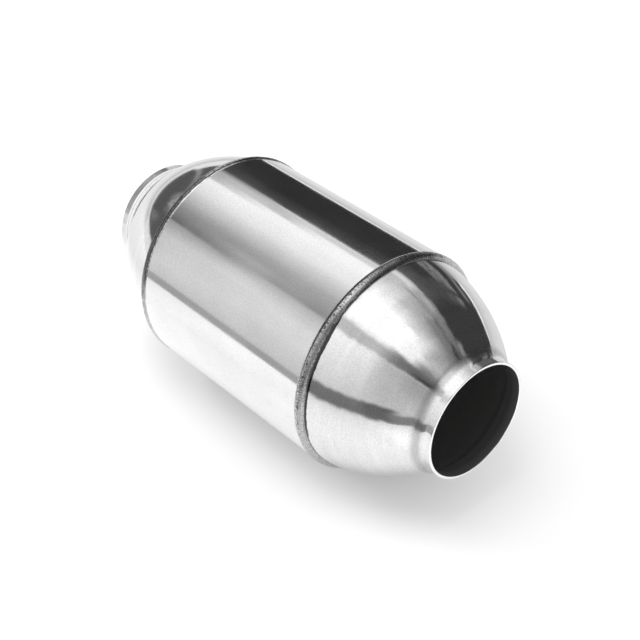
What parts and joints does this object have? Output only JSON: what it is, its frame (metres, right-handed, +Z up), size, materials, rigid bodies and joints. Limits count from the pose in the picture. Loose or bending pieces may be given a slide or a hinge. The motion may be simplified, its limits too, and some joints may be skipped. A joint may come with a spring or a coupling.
{
  "type": "catalytic converter",
  "caption": "Round stainless catalytic converter: polished can, domed end cones with short pipe collars, rippled girth welds and a wound metal honeycomb inside.",
  "frame": {"origin": "middle of the can's axis, which is also the middle of the whole part", "axes": "+X along the gas path, out of the front collar; +Z up as the part lies"},
  "size_m": [0.246, 0.1216, 0.1216],
  "materials": {
    "can_steel": "polished stainless sheet",
    "cone_steel": "spun stainless sheet with fine round-and-round brushing",
    "weld_steel": "bare rippled weld bead",
    "mantle_steel": "mill finish",
    "coated_foil": "matt catalyst coating on thin foil"
  },
  "bodies": {
    "root": {"casing_can": "can_steel", "cone_front": "cone_steel", "cone_rear": "cone_steel", "weld_front": "weld_steel", "weld_rear": "weld_steel", "substrate_mantle": "mantle_steel", "foil_flat": "coated_foil", "foil_corrugated": "coated_foil"}
  },
  "joints": []
}
